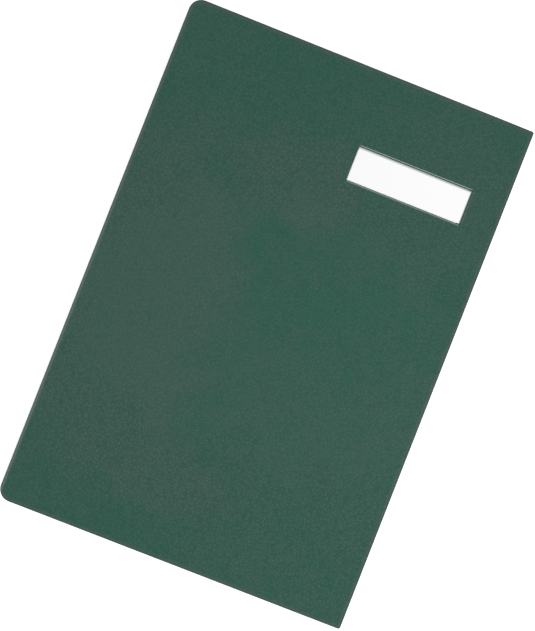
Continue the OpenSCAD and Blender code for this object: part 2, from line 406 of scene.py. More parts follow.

# %% [markdown]
# ### Painted edge light
# A cover is painted greyer within a few millimetres of its edges, a painted sheen for the white surround
# that the rounded edge reflects, and the very edge is painted darker, as shade where the rounding turns
# away from the light. The long edge beside the spine gets a pale painted highlight line instead, most near
# the tail. Cycles can find edges by itself, but only on dense meshes. The covers are rectangles with round
# corners, whose distance to the edge has a short formula.

# %% Group: painted edge light
def make_painted_edge_light():
    made, given, out = start_group(
        "Painted edge light",
        {"Half width": half_width, "Half height": half_height,
         "Grey mm": 3.9, "Highlight mm": 2.0, "Uneven": 0.3},
        ["Grey", "Painted shade", "Painted highlight"])
    parts = made.where_parts()
    at_spine = made.math("LESS_THAN", parts["X"], 0.0)
    radius = made.plus(made.times(at_spine, SPINE_CORNER - FORE_CORNER), FORE_CORNER)
    past = []
    for axis, half in (("X", given["Half width"]), ("Y", given["Half height"])):
        straight = made.minus(half, radius)
        past.append(made.minus(made.math("ABSOLUTE", parts[axis]), straight))
    squares = [made.math("POWER", made.math("MAXIMUM", length, 0.0), 2.0) for length in past]
    in_corner = made.math("SQRT", made.plus(*squares))
    on_side = made.math("MINIMUM", made.math("MAXIMUM", *past), 0.0)
    near = made.millimetres(made.minus(made.minus(radius, in_corner), on_side))
    from_spine = made.millimetres(made.plus(given["Half width"], parts["X"]))
    patchy = made.noise(made.where(), Scale=140.0, Detail=4.0)
    wobble = made.times(made.minus(patchy, 0.5), given["Uneven"])
    share = made.plus(made.over(near, given["Grey mm"]), wobble)
    # Painted sheen: greyer near the edges, for the white surround that the rounded edge reflects.
    made.put(out["Grey"], made.fade(share, 0.0, 1.0))
    past_line = made.plus(made.minus(from_spine, given["Highlight mm"]), wobble)
    line = made.fade(past_line, -0.4, 0.4)
    # Painted shade at the very edge, left out where the highlight line lies.
    painted_shade = made.fade(near, 0.7, 1.9)
    made.put(out["Painted shade"], made.times(painted_shade, made.minus(1.0, line)))
    # Painted highlight line beside the spine, strongest towards the tail.
    towards_tail = made.ramp(parts["Y"], 0.16, -0.06, 0.3, 1.0)
    made.put(out["Painted highlight"], made.times(line, towards_tail))
    return made.tree


painted_edge_light = make_painted_edge_light()

# %% [markdown]
# ### Greyer patch
# A few places of the cover, near the spine, at its tail and round its label, are a little greyer than
# the rest. They could be painted by hand, but a soft ellipse with an uneven rim needs only its middle and
# its size.

# %% Group: greyer patch
def make_greyer_patch():
    made, given, out = start_group(
        "Held patch", {"Middle X": 0.0, "Middle Y": 0.0, "Wide": 0.05, "High": 0.1}, ["Held"])
    parts = made.where_parts()
    squares = []
    for axis, size in (("X", "Wide"), ("Y", "High")):
        off = made.minus(parts[axis], given[f"Middle {axis}"])
        share = made.over(off, given[size])
        squares.append(made.times(share, share))
    distance = made.math("SQRT", made.plus(*squares))
    patchy = made.noise(made.where(), Scale=35.0, Detail=3.0)
    uneven = made.plus(distance, made.minus(patchy, 0.5))
    made.put(out["Held"], made.fade(uneven, 0.7, 1.15))
    return made.tree


greyer_patch = make_greyer_patch()

# %% [markdown]
# ### Painted highlight band
# Round the label's window the cover is painted lighter in thin bands: a painted highlight on the slanted
# head side, where it catches the light, and painted light beyond the tail and the fore side, where the
# rim and the gap lie in shade; at the tail it is partly a rubbed rim. Thin meshes laid on the cover would
# float over the grain, but a box with soft edges, drawn in the colour, doesn't.

# %% Group: painted highlight band
def make_highlight_band():
    made, given, out = start_group(
        "Painted highlight band", {"Low X": 0.0, "High X": 0.1, "Low Y": 0.0, "High Y": 0.1, "Fade mm": 0.2}, ["Painted highlight"])
    parts = made.where_parts()
    past = []
    for axis in "XY":
        low, high = given[f"Low {axis}"], given[f"High {axis}"]
        middle = made.times(made.plus(low, high), 0.5)
        half = made.times(made.minus(high, low), 0.5)
        off = made.gap(parts[axis], middle)
        past.append(made.minus(off, half))
    furthest = made.millimetres(made.math("MAXIMUM", *past))
    # Painted highlight: 1 inside the box, fading out past its sides.
    made.put(out["Painted highlight"], made.fade(made.over(furthest, given["Fade mm"]), 0.0, 1.0))
    return made.tree


highlight_band = make_highlight_band()

# %% [markdown]
# ### Stacked edges
# Where card is stacked, each layer ends in a hair of shadow. Every layer could be a solid of its own, but
# one line per layer, drawn by height, gives the same shadows.

# %% Group: stacked edges
def make_stacked_edges():
    made, given, out = start_group(
        "Stacked edges", {"First Z": 0.0, "Layer mm": 0.925, "Line mm": 0.12}, ["Line"])
    height = made.where_parts()["Z"]
    up = made.millimetres(made.minus(height, given["First Z"]))
    layer = made.math("FRACT", made.plus(made.over(up, given["Layer mm"]), 0.5))
    off = made.times(made.gap(layer, 0.5), given["Layer mm"])
    made.put(out["Line"], made.fade(made.over(off, given["Line mm"]), 0.5, 1.0))
    return made.tree


stacked_edges = make_stacked_edges()

# %% [markdown]
# ### Threads and fibres
# Book cloth and linen are plain weaves: each thread goes over one and under the next. Real threads would
# be far too many to model. Two sine waves at right angles, multiplied, give that chequer of bumps. Paper
# and card are felted instead: fibres lie any way, so a stretched noise in two directions stands for them.

# %% Groups: plain weave and paper fibre
SLUB_STRETCH = (300.0, 2600.0, 300.0)
FIBRE_STRETCHES = ((1, 4, 4), (4, 1, 4))


def make_plain_weave():
    made, given, out = start_group("Plain weave", {"Thread mm": 0.5, "Slub": 0.35}, ["Height", "Gap"])
    parts = made.where_parts()
    turn = made.over(math.pi / MM, given["Thread mm"])
    warp = made.math("SINE", made.times(made.plus(parts["X"], parts["Z"]), turn))
    weft = made.math("SINE", made.times(parts["Y"], turn))
    crossing = made.math("ABSOLUTE", made.times(warp, weft))
    slub = made.noise(made.vector("MULTIPLY", made.where(), SLUB_STRETCH), Scale=1.0)
    uneven = made.times(slub, given["Slub"])
    made.put(out["Height"], made.plus(crossing, uneven))
    made.put(out["Gap"], made.fade(crossing, 0.0, 0.5))
    return made.tree


def make_paper_fibre():
    made, given, out = start_group("Paper fibre", {"Fibre mm": 1.2}, ["Height", "Fleck"])
    at = made.scale(made.where(), made.over(1 / MM, given["Fibre mm"]))
    felt = made.times(*(made.noise(made.vector("MULTIPLY", at, stretch), Scale=1.0, Detail=4.0)
                        for stretch in FIBRE_STRETCHES))
    made.put(out["Height"], felt)
    made.put(out["Fleck"], made.ramp(felt, 0.16, 0.4))
    return made.tree


plain_weave = make_plain_weave()
paper_fibre = make_paper_fibre()

# %% [markdown]
# ## Finishes
# Each finish is one material that places the shared effects with its own values. The shader itself stays
# in the material. What is the same all over, such as a gloss, is set on the shader's own socket, because
# an exported model loses such a value when it comes through a link.

# %% Helpers for finishes
def new_finish(name, roughness, specular):
    """A material, the short calls to build on it, and its Principled shader."""
    material = bpy.data.materials.new(name)
    material.use_nodes = True
    made = Nodes(material.node_tree)
    shader = material.node_tree.nodes["Principled BSDF"]
    made.set(shader, Roughness=roughness, Specular_IOR_Level=specular)
    return material, made, shader


def raise_bump(made, shader, height, depth_mm, strength):
    bump = made.add("Bump", Height=height, Strength=strength, Distance=depth_mm * MM)
    made.set(shader, Normal=bump.outputs["Normal"])


def rgb(red, green, blue):
    """A colour written as it looks, from 0 to 255, in the linear values that shaders use."""
    linear = [c / 12.92 if c <= 0.04045 else ((c + 0.055) / 1.055) ** 2.4
              for c in (red / 255, green / 255, blue / 255)]
    return (*linear, 1.0)


# %% [markdown]
# ### Leatherette
# Dark green, matt, pebbled. The valleys are darker than the pebbles, and the whole drifts slowly between a
# clearer and a greyer green. It is greyer in a few soft patches, and polished in the middle of the cover,
# where the pebbles are lower. Along its edges it has painted light: a painted sheen that greys them,
# painted shade at the very edge and a painted highlight beside the spine. One flat green with a bump would
# have the grain, but none of these. Only the front cover has the window's painted highlight bands, and only
# the spine's ends get the painted edge light, because its long sides aren't edges.

# %% Colours of the leatherette, its patches and its painted light
CLEAR_GREEN = rgb(36, 80, 67)
GREYER_GREEN = rgb(48, 80, 70)
PATCH_GREEN = rgb(56, 81, 72)
VALLEY_GREEN = rgb(30, 68, 56)
# Painted light: a grey painted sheen and a dark painted shade at the edges, and pale painted highlights.
SHEEN_GREY = rgb(78, 87, 84)
EDGE_SHADE = rgb(46, 60, 55)
HIGHLIGHT_GREEN = rgb(110, 131, 124)
WINDOW_HIGHLIGHT_GREEN = rgb(150, 166, 160)

# Middle x, middle y, half width, half height, and the share of the patch green.
GREYER_PATCHES = (
    (-0.085, -0.022, 0.066, 0.13, 0.8),
    (-0.012, 0.088, 0.05, 0.032, 0.8),
    (-0.022, -0.126, 0.045, 0.022, 0.8),
    (0.085, 0.105, 0.055, 0.055, 0.4),
)
ACROSS = {"Low_X": window_left + 0.9 * MM, "High_X": window_right - 0.9 * MM}
UPRIGHT = {"Low_Y": window_tail + 0.5 * MM, "High_Y": window_head - 0.5 * MM}
# Share of the painted highlight green at the window's head, tail and fore side, and the box it fills.
WINDOW_BANDS = (
    (0.9, {**ACROSS, "Low_Y": window_head - 0.55 * MM, "High_Y": window_head}),
    (0.42, {**ACROSS, "Low_Y": window_tail - 0.65 * MM, "High_Y": window_tail - 0.1 * MM}),
    (0.085, {**UPRIGHT, "Low_X": window_right - 0.45 * MM, "High_X": window_right + 0.7 * MM}),
)
print("held patches:", len(GREYER_PATCHES), "| rubbed bands:", len(WINDOW_BANDS))

# %% Finish: leatherette
BEYOND_SIDES = 12 * MM


def make_leatherette(name, edge_half_width=half_width, bands=()):
    """edge_half_width places the side edges' painted light. Past the piece's own sides, there is none."""
    material, made, shader = new_finish(name, roughness=0.6, specular=0.2)
    grain = made.place(pebble_grain, Pebble_mm=2.2, Wander=0.6, Pore_share=0.5)
    drift = made.place(cloudy_drift, Wide_mm=150.0, Narrow_mm=12.0, Narrow_share=0.45)["Cloud"]
    # Painted sheen, painted shade and a painted highlight line along the cover's edges.
    edge = made.place(painted_edge_light, Half_width=edge_half_width)
    colour = made.mix(made.ramp(drift, 0.36, 0.64), CLEAR_GREEN, GREYER_GREEN)
    for x, y, wide, high, share in GREYER_PATCHES:
        patch = made.place(greyer_patch, Middle_X=x, Middle_Y=y, Wide=wide, High=high)["Held"]
        colour = made.tint(colour, patch, share, PATCH_GREEN)
    polished = made.place(greyer_patch, Middle_X=0.01, Middle_Y=-0.01, Wide=0.15, High=0.09)["Held"]
    relief = made.ramp(polished, 0.0, 1.0, 1.0, 0.6)
    # Grain valleys, then the painted sheen, shade and highlights, laid over the colour in turn.
    grain_and_painted_light = [
        (made.times(grain["Valley"], relief), 0.55, VALLEY_GREEN),
        (edge["Grey"], 0.55, SHEEN_GREY),
        (edge["Painted shade"], 0.28, EDGE_SHADE),
        (edge["Painted highlight"], 0.3, HIGHLIGHT_GREEN),
    ]
    # Painted highlight bands round the label's window.
    for share, box in bands:
        grain_and_painted_light.append((made.place(highlight_band, **box)["Painted highlight"], share, WINDOW_HIGHLIGHT_GREEN))
    for mask, share, laid_colour in grain_and_painted_light:
        colour = made.tint(colour, mask, share, laid_colour)
    made.set(shader, Base_Color=colour, Roughness=made.ramp(grain["Valley"], 0.0, 1.0, 0.55, 0.7))
    raise_bump(made, shader, made.times(grain["Height"], relief), depth_mm=0.14, strength=0.8)
    return material


front_finish = make_leatherette("leatherette_front_cover", bands=WINDOW_BANDS)
back_finish = make_leatherette("leatherette_back_cover")
spine_finish = make_leatherette("leatherette_spine", edge_half_width=half_width + BEYOND_SIDES)
print("leatherette finishes: front cover, back cover and spine")

# %% [markdown]
# ### Cloth and linen
# The joint inside each cover is book cloth in the cover's green, and the leaves hang on undyed linen. Each
# could have a material of its own, but both are the same weave in another size and colour, so one function
# makes them. A little sheen stands for the fine hairs that catch light at a grazing angle.

# %% Finishes: cloth and linen
def make_cloth(name, thread, gap, thread_mm):
    material, made, shader = new_finish(name, roughness=0.85, specular=0.2)
    made.set(shader, Sheen_Weight=0.15)
    weave = made.place(plain_weave, Thread_mm=thread_mm, Slub=0.5)
    cloud = made.place(cloudy_drift, Wide_mm=60.0, Narrow_mm=5.0)["Cloud"]
    tinted = made.mix(made.ramp(cloud, 0.3, 0.7, 0.0, 0.35), thread, gap)
    made.set(shader, Base_Color=made.tint(tinted, weave["Gap"], 0.5, gap))
    raise_bump(made, shader, weave["Height"], depth_mm=0.06, strength=0.7)
    return material


book_cloth = make_cloth("book_cloth_green", rgb(52, 80, 71), rgb(32, 54, 47), thread_mm=0.45)
leaf_linen = make_cloth("leaf_linen", rgb(236, 232, 220), rgb(198, 192, 176), thread_mm=0.35)
print("cloths: book cloth and linen")

# %% [markdown]
# ### Board, card and paper
# Grey board shows only as cut edges, the leaves are smooth white card, and the endpapers are uncoated. The
# same felted fibres, in other colours, sizes and depths, make them all. The label is white card as well,
# with painted shadow along its head and its fore-edge, where the rim of its recess shades it.

# %% Finishes: board, card and paper
BOARD_GREY = rgb(176, 172, 163)
BOARD_FLECK = rgb(128, 123, 114)
CARD_CREAM = rgb(238, 235, 225)
CARD_FLECK = rgb(212, 206, 191)
# Grey of the painted shadow along the label's head and fore-edge.
LABEL_SHADOW_GREY = rgb(160, 169, 165)
label_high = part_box("title_label")[1]


def painted_shadow_margins(made):
    """A mask that is 1 along the label's head and fore-edge, where they carry painted shadow."""
    parts = made.where_parts()
    from_head = made.millimetres(made.minus(label_high.y, parts["Y"]))
    from_fore = made.millimetres(made.minus(label_high.x, parts["X"]))
    return made.math("MAXIMUM", made.fade(from_head, 0.0, 1.6), made.fade(from_fore, 0.35, 0.8))


def make_paper(name, clean, fleck, fibre_mm, roughness, depth_mm, fleck_share=0.35, painted_shade=None):
    material, made, shader = new_finish(name, roughness, specular=0.3)
    fibre = made.place(paper_fibre, Fibre_mm=fibre_mm)
    cloud = made.place(cloudy_drift, Wide_mm=90.0, Narrow_mm=6.0, Narrow_share=0.3)["Cloud"]
    share = made.times(fibre["Fleck"], fleck_share)
    tone = made.plus(share, made.ramp(cloud, 0.3, 0.7, 0.0, 0.2))
    colour = made.mix(tone, clean, fleck)
    # Painted shadow along the margins that the mask marks.
    if painted_shade:
        colour = made.mix(painted_shade(made), colour, LABEL_SHADOW_GREY)
    made.set(shader, Base_Color=colour)
    raise_bump(made, shader, fibre["Height"], depth_mm, strength=0.5)
    return material


grey_board = make_paper("grey_board", BOARD_GREY, BOARD_FLECK,
                        fibre_mm=0.9, roughness=0.95, depth_mm=0.08, fleck_share=0.8)
white_card = make_paper("leaf_card_white", rgb(243, 241, 233), rgb(230, 226, 214),
                        fibre_mm=1.0, roughness=0.6, depth_mm=0.01)
infill_card = make_paper("infill_card", CARD_CREAM, CARD_FLECK,
                         fibre_mm=0.7, roughness=0.85, depth_mm=0.03, fleck_share=0.5)
endpaper = make_paper("endpaper_ivory", rgb(240, 236, 224), rgb(222, 215, 198),
                      fibre_mm=1.6, roughness=0.85, depth_mm=0.02, fleck_share=0.4)
label_card = make_paper("label_card_white", rgb(243, 243, 243), rgb(234, 235, 235),
                        fibre_mm=0.8, roughness=0.6, depth_mm=0.01, fleck_share=0.5, painted_shade=painted_shadow_margins)
print("papers: board, leaf card, infill card, endpaper and label card")

# %% [markdown]
# ### Recess-shaded board and guard card
# In the label's recess the front board is painted dark as shade, so that a gap round the label reads as
# shadow and doesn't flash grey. A slip of pale paper lies under the label and shows as a paler hair past
# its head, painted with shade there, and along its spine and tail sides. Both could be pieces of their own,
# but they are thinner than a hair, so here they are colours in the board's finish. The guards are cut from
# card like the infill and stacked, so their ends show a line for each layer.

# %% Finishes: recess-shaded board and guard card
# Painted shade in the label's recess.
RECESS_SHADE = rgb(48, 60, 55)
RECESS_SHADE_FLECK = rgb(36, 48, 43)
SLIP_WHITE = rgb(243, 243, 241)
SLIP_SHADE = rgb(172, 182, 177)
SLIP_SHORT = 3 * MM
SLIP_PAST_LABEL = 0.35 * MM
SLIP_SHADED = 2 * MM
LAYER_SHADOW = rgb(120, 114, 102)


def make_recess_shaded_board():
    material, made, shader = new_finish("front_board_recess_shade", roughness=0.9, specular=0.2)
    parts = made.where_parts()
    inside = []
    for axis, low, high in (("X", window_left, window_right), ("Y", window_tail, window_head)):
        off = made.gap(parts[axis], (low + high) / 2)
        inside.append(made.math("LESS_THAN", off, (high - low) / 2))
    fibre = made.place(paper_fibre, Fibre_mm=0.9)
    board = made.mix(fibre["Fleck"], BOARD_GREY, BOARD_FLECK)
    recess_shade = made.mix(fibre["Fleck"], RECESS_SHADE, RECESS_SHADE_FLECK)
    on_slip = made.times(made.math("LESS_THAN", parts["X"], window_right - SLIP_SHORT),
                        made.math("LESS_THAN", parts["Y"], label_high.y + SLIP_PAST_LABEL))
    # Painted shade on the slip near the label's head.
    at_head = made.math("GREATER_THAN", parts["Y"], label_high.y - SLIP_SHADED)
    lined = made.mix(on_slip, recess_shade, made.mix(at_head, SLIP_WHITE, SLIP_SHADE))
    made.set(shader, Base_Color=made.mix(made.times(*inside), board, lined))
    raise_bump(made, shader, fibre["Height"], depth_mm=0.08, strength=0.5)
    return material


def make_guard_card():
    material, made, shader = new_finish("guard_card", roughness=0.85, specular=0.3)
    lowest = joint_at["back_flyleaf_hinge"].z
    layer = (joint_at["front_flyleaf_hinge"].z - lowest) / (2 * leaf_count)
    lines = made.place(stacked_edges, First_Z=lowest, Layer_mm=layer / MM, Line_mm=0.2)["Line"]
    fibre = made.place(paper_fibre, Fibre_mm=0.7)
    card = made.tint(CARD_CREAM, fibre["Fleck"], 0.5, CARD_FLECK)
    made.set(shader, Base_Color=made.tint(card, lines, 0.6, LAYER_SHADOW))
    raise_bump(made, shader, fibre["Height"], depth_mm=0.03, strength=0.5)
    return material


recess_shaded_board = make_recess_shaded_board()
guard_card = make_guard_card()
print("finishes that change with place: inked board and guard card")

# %% [markdown]
# ### Clear film and glassine
# The pockets are clear film: almost nothing to see but a faint cool veil and its gloss, with a paler line
# where it is welded down, and a paler line where the film ends that is a painted highlight on its cut edge.
# Glassine is paper rolled until light comes through. Both are thin sheets, so they use alpha, as refraction
# would only darken what lies close behind them.

# %% Measure the pocket strips
STRIPS_ON_PAGE = 10
strips_low, strips_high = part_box("leaf_1_front_strips")
strip_edges = sorted({round(v.co.y, 5) for v in nodes["leaf_1_front_strips"].data.vertices})
edges_per_strip = len(strip_edges) // STRIPS_ON_PAGE
strip_height = strip_edges[edges_per_strip - 1] - strip_edges[0]
strip_pitch = strip_edges[edges_per_strip] - strip_edges[0]
print("pocket strips:", round(strip_height / MM, 2), "mm high, every", round(strip_pitch / MM, 2), "mm")

# %% Finishes: pocket film and glassine
# How far up a strip, or in from its side, the weld fades out and the lip's painted highlight fades in.
WELD_MM = (1.3, 1.6)
LIP_MM = (strip_height / MM - 0.8, strip_height / MM - 0.2)


def make_pocket_film():
    material, made, shader = new_finish("pocket_film", roughness=0.12, specular=0.6)
    parts = made.where_parts()
    rows_up = made.over(made.minus(parts["Y"], strips_low.y), strip_pitch)
    in_row = made.times(made.math("FRACT", rows_up), strip_pitch / MM)
    weld = made.fade(in_row, *WELD_MM)
    # The lip's paler line is a painted highlight on the film's cut edge.
    lip_highlight = made.ramp(in_row, *LIP_MM)
    sides = made.minus(parts["X"], strips_low.x), made.minus(strips_high.x, parts["X"])
    side = made.fade(made.millimetres(made.math("MINIMUM", *sides)), *WELD_MM)
    edge = made.math("MAXIMUM", made.math("MAXIMUM", weld, lip_highlight), side)
    haze = made.place(cloudy_drift, Wide_mm=40.0, Narrow_mm=3.0)["Cloud"]
    tinted = made.mix(edge, rgb(214, 226, 232), rgb(240, 244, 246))
    veil = made.plus(made.ramp(edge, 0.0, 1.0, 0.20, 0.5), made.ramp(haze, 0.3, 0.7, 0.0, 0.06))
    made.set(shader, Base_Color=tinted, Alpha=veil)
    return material


def make_glassine():
    material, made, shader = new_finish("glassine", roughness=0.4, specular=0.4)
    fibre = made.place(paper_fibre, Fibre_mm=3.0)
    cloud = made.place(cloudy_drift, Wide_mm=70.0, Narrow_mm=7.0)["Cloud"]
    felted = made.tint(rgb(236, 238, 232), fibre["Fleck"], 0.5, rgb(218, 221, 212))
    made.set(shader, Base_Color=felted, Alpha=made.ramp(cloud, 0.3, 0.7, 0.62, 0.74))
    raise_bump(made, shader, fibre["Height"], depth_mm=0.03, strength=0.4)
    return material


pocket_film = make_pocket_film()
glassine = make_glassine()
print("clear sheets: pocket film and glassine")

# %% [markdown]
# ## Short calls for meshes
# Every mesh here is made of loops of points that are joined to the next loop, and of grids of points.
# Blender's operators could build them, but they need a selection and a view. In bmesh the points are at
# hand, and the same few calls build covers, joints and sheets.

# %% Helpers for meshes
SHARP_ANGLE = math.radians(35)
WELD_DISTANCE = 0.001 * MM


def join_loops(bm, loop, next_loop):
    """Faces between two closed loops with the same number of points."""
    for k in range(len(loop)):
        m = (k + 1) % len(loop)
        bm.faces.new((loop[k], loop[m], next_loop[m], next_loop[k]))


def fill_grid(bm, grid, open_columns=(), open_rows=()):
    """Faces in all the cells of a grid but those in an open column and an open row."""
    for i in range(len(grid) - 1):
        for j in range(len(grid[0]) - 1):
            if not (i in open_columns and j in open_rows):
                bm.faces.new((grid[i][j], grid[i + 1][j], grid[i + 1][j + 1], grid[i][j + 1]))


def rim_of(grid, columns, rows):
    """The closed loop of points round a block of a grid, given by the numbers of its columns and rows."""
    loop = [grid[i][rows[0]] for i in columns]
    loop += [grid[columns[-1]][j] for j in rows[1:]]
    loop += [grid[i][rows[-1]] for i in reversed(columns[:-1])]
    loop += [grid[columns[0]][j] for j in reversed(rows[1:-1])]
    return loop


def add_mesh(name, bm, finish):
    """Puts a bmesh in the scene: closed up, facing out, smooth but for its sharp edges."""
    bmesh.ops.remove_doubles(bm, verts=bm.verts, dist=WELD_DISTANCE)
    bmesh.ops.recalc_face_normals(bm, faces=bm.faces)
    for face in bm.faces:
        face.smooth = True
    for edge in bm.edges:
        edge.smooth = edge.is_manifold and edge.calc_face_angle(0.0) < SHARP_ANGLE
    mesh = bpy.data.meshes.new(name)
    bm.to_mesh(mesh)
    bm.free()
    mesh.materials.append(finish)
    piece = bpy.data.objects.new(name, mesh)
    scene.collection.objects.link(piece)
    return piece


def turning(start, end, steps):
    """The angles of an arc's points, from start to end in degrees."""
    return [math.radians(start + (end - start) * k / steps) for k in range(steps + 1)]


# %% [markdown]
# ## Covers
# A cover is a board with leatherette drawn over it: flat outside, rounded over the edge, and turned in
# inside, where the endpaper later covers most of it. It could be a box with a bevel, but then the folds
# inside would be missing. So the leatherette is a sheet swept round the cover's outline: one profile, from
# the outer face over the edge to the end of the turn-in and back along the board, follows rings that all
# have the same number of points.

# %% Rings of the cover's outline
FACE_INSET = 12 * MM
SEAM = 0.35 * MM
SIDE_STEPS = 24
SPINE_CORNER_STEPS = 16
FORE_CORNER_STEPS = 4


def side_shares(length, marks):
    """Where the points lie along a side: even steps, with the marks among them, as shares of its length."""
    even = [k / SIDE_STEPS for k in range(1, SIDE_STEPS)]
    marked = [mark / length for mark in marks]
    clear = [s for s in even if all(abs(s - m) > 0.25 / SIDE_STEPS for m in marked)]
    return sorted(clear + marked)


def ring(inset, across, along):
    """The outline moved in by inset, as (point, (corner, step)) pairs, or (point, None) along a side."""
    x, y = half_width - inset, half_height - inset
    spine_r, fore_r = max(SPINE_CORNER - inset, 0.0), max(FORE_CORNER - inset, 0.0)
    corners = [
        (-x + spine_r, y - spine_r, spine_r, turning(180, 90, SPINE_CORNER_STEPS)),
        (x - fore_r, y - fore_r, fore_r, turning(90, 0, FORE_CORNER_STEPS)),
        (x - fore_r, fore_r - y, fore_r, turning(0, -90, FORE_CORNER_STEPS)),
        (-x + spine_r, spine_r - y, spine_r, turning(-90, -180, SPINE_CORNER_STEPS)),
    ]
    arcs = [[Vector((cx + r * math.cos(a), cy + r * math.sin(a))) for a in angles]
            for cx, cy, r, angles in corners]
    pairs = []
    for n, arc in enumerate(arcs):
        pairs += [(point, (n, step)) for step, point in enumerate(arc)]
        shares = along if n % 2 else across
        if n >= 2:
            shares = [1 - s for s in reversed(shares)]
        reach = arcs[(n + 1) % 4][0] - arc[-1]
        seam = SEAM / reach.length
        pairs += [(arc[-1] + reach * s, None) for s in (seam, *shares, 1 - seam)]
    return pairs


print("points along a side:", SIDE_STEPS + 1)

# %% [markdown]
# The profile is a list of (inset from the edge, height over the outer face). On the inside the turn-in is
# gathered into small pleats at the round corners, and meets in a mitre at the square ones. A bump could
# draw them, but they catch light and cast shadow when the album is open, so their points are moved.

# %% The profile of the leatherette
OUTER_ROUND = 1.2 * MM
INNER_ROUND = 0.6 * MM
QUARTER_STEPS = 4
FACE_RINGS = (FACE_INSET, 6 * MM, 2.5 * MM)
TURN_IN_RINGS = (1.6 * MM, 3.5 * MM, 6 * MM, 9 * MM, turn_in - 0.3 * MM)
PARED = 0.12 * MM
PLEAT = 0.10 * MM
MITRE = 0.25 * MM
SAME = 0.0001 * MM


def quarter(inset, height, radius, start, end):
    """A quarter round about (inset, height), as points of the profile."""
    return [(inset - radius * math.cos(a), height + radius * math.sin(a))
            for a in turning(start, end, QUARTER_STEPS)]


profile = [(inset, 0.0) for inset in FACE_RINGS]
profile += quarter(OUTER_ROUND, OUTER_ROUND, OUTER_ROUND, -90, 0)
profile += quarter(INNER_ROUND, skin_top - INNER_ROUND, INNER_ROUND, 0, 90)
profile += [(inset, skin_top) for inset in TURN_IN_RINGS]
profile += [(turn_in, skin_top - PARED), (turn_in, board_top), (leatherette, board_top)]
profile += quarter(OUTER_ROUND, OUTER_ROUND, OUTER_ROUND - leatherette, 0, -90)
profile += [(FACE_INSET, leatherette)]


def fold_height(inset, height, corner_step):
    """The height with its pleat or mitre, which only the corners of the turn-in have."""
    on_turn_in = abs(height - skin_top) < SAME and INNER_ROUND < inset < turn_in
    if corner_step is None or not on_turn_in:
        return height
    corner, step = corner_step
    if corner in (0, 3):
        fade = math.sin(math.pi * min(inset / SPINE_CORNER, 1.0))
        return height + (PLEAT if step % 2 else -PLEAT) * fade
    return height - MITRE


print("turn-in:", round(turn_in / MM, 1), "mm wide | points in the profile:", len(profile))

# %% [markdown]
# The front cover has a window for the title label, with its four sides pressed down at a slant over the
# board. A Boolean cut would make it, but leave long thin faces. Here the face is a grid whose lines run
# through the window's sides, so that the slant is real geometry and its painted highlight comes from the
# finish.

# %% Helpers for the faces of a cover
def between(values, low, high):
    """The numbers of the values from low to high, with both ends."""
    return [k for k, value in enumerate(values) if low - SAME < value < high + SAME]


def slanted(value, low, high, depth):
    """Moves a point on a side of the window inwards by the depth, and leaves any other."""
    return value + depth * (abs(value - low) < SAME) - depth * (abs(value - high) < SAME)


def face_grid(bm, place, xs, ys, height, columns, rows, window):
    """The points of one face of the sheet, where the window is cut through those columns and rows."""
    grid = []
    for i, x in enumerate(xs):
        grid.append([])
        for j, y in enumerate(ys):
            at = (x, y)
            if i in columns and j in rows:
                at = (slanted(x, *window[:2], height), slanted(y, *window[2:], height))
            grid[-1].append(bm.verts.new(place(*at, height)))
    return grid


# %% Build the leatherette of the covers
def cover_leatherette(name, finish, place, window):
    """place turns (x, y, height over the outer face) into a point of the album. A window is optional."""
    x0, y0 = half_width - FACE_INSET, half_height - FACE_INSET
    across = side_shares(2 * x0, [x + x0 for x in window[:2]])
    along = side_shares(2 * y0, [y0 - y for y in window[2:]])
    bm = bmesh.new()
    loops = [[bm.verts.new(place(*point, fold_height(inset, height, corner_step)))
              for point, corner_step in ring(inset, across, along)] for inset, height in profile]
    for loop, next_loop in zip(loops, loops[1:]):
        join_loops(bm, loop, next_loop)
    seam_x, seam_y = SEAM / (2 * x0), SEAM / (2 * y0)
    xs = [2 * x0 * s - x0 for s in (0, seam_x, *across, 1 - seam_x, 1)]
    ys = [y0 - 2 * y0 * s for s in (0, seam_y, *along, 1 - seam_y, 1)]
    columns = between(xs, *window[:2]) if window else []
    rows = between(ys, *window[2:]) if window else []
    grids = [face_grid(bm, place, xs, ys, height, columns, rows, window) for height in (0.0, leatherette)]
    for grid in grids:
        fill_grid(bm, grid, columns[:-1], rows[:-1])
    if window:
        join_loops(bm, *(rim_of(grid, columns, rows) for grid in grids))
    return add_mesh(name, bm, finish)


for side, finish, place, window in (
        ("back", back_finish, lambda x, y, h: (x, y, h), ()),
        ("front", front_finish, lambda x, y, h: (x, y, album_top - h), label_window)):
    skin = cover_leatherette(f"{side}_cover_leatherette", finish, place, window)
    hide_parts(f"{side}_leatherette")
    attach(skin, f"{side}_cover")
    print(skin.name, "has", len(skin.data.polygons), "faces")

# %% [markdown]
# ## Joints between the covers and the spine
# Inside each cover a strip of green book cloth runs from the board to the spine, and it is the only thing
# that joins them. It could be simulated cloth, but it is glued down on both sides of its short fold. So it
# is one mesh that follows the cover on one side of the hinge line and the spine on the other. Close rows of
# points run between the two.

# %% Build the cloth joints
BEND_ROWS = 8
JOINT_EDGE = 0.05 * MM
JOINT_CHAMFER = 0.3 * MM


def profile_strip(name, outline, half_length, finish):
    """Sweeps a closed outline of (x, z) points along the album's height."""
    bm = bmesh.new()
    ends = [[bm.verts.new((x, y, z)) for x, z in outline] for y in (-half_length, half_length)]
    join_loops(bm, *ends)
    bm.faces.new(ends[0])
    bm.faces.new(reversed(ends[1]))
    return add_mesh(name, bm, finish)


